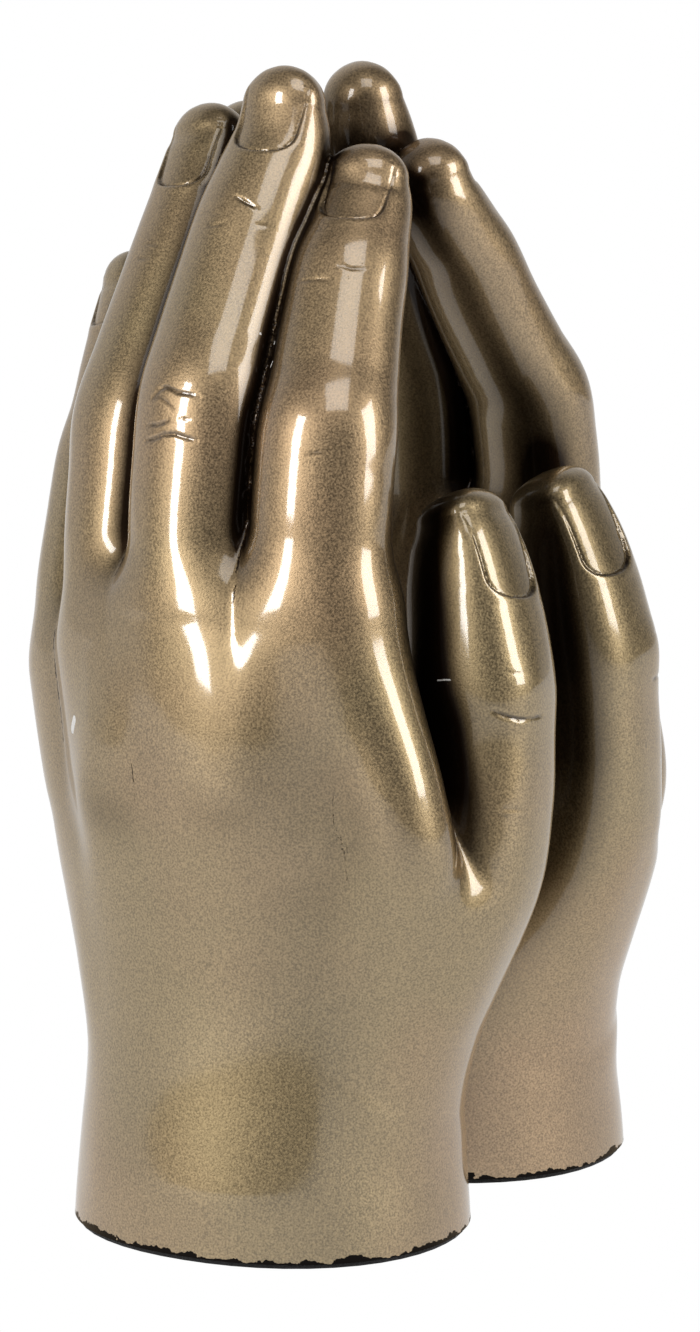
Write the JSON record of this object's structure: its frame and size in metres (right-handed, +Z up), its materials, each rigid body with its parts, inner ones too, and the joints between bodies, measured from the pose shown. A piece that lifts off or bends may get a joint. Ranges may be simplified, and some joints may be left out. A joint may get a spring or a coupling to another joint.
{
  "type": "praying hands statue",
  "caption": "Upright life-size hands in prayer, palms facing over an open hollow, cast in one piece with cut-off wrists that stand on felt.",
  "frame": {"origin": "middle of the footprint, on the surface that the felt pads stand on", "axes": "+Z up along the fingers, +X from the left hand to the right hand across the mirror plane X = 0, thumbs towards -Y"},
  "size_m": [0.1331, 0.1043, 0.2158],
  "materials": {
    "bronze_paint": "glossy metallic bronze paint with fine flake under a clear coat",
    "black_felt": "matt black felt"
  },
  "bodies": {
    "root": {"praying_hands": "bronze_paint", "left_felt_pad": "black_felt", "right_felt_pad": "black_felt"}
  },
  "joints": []
}
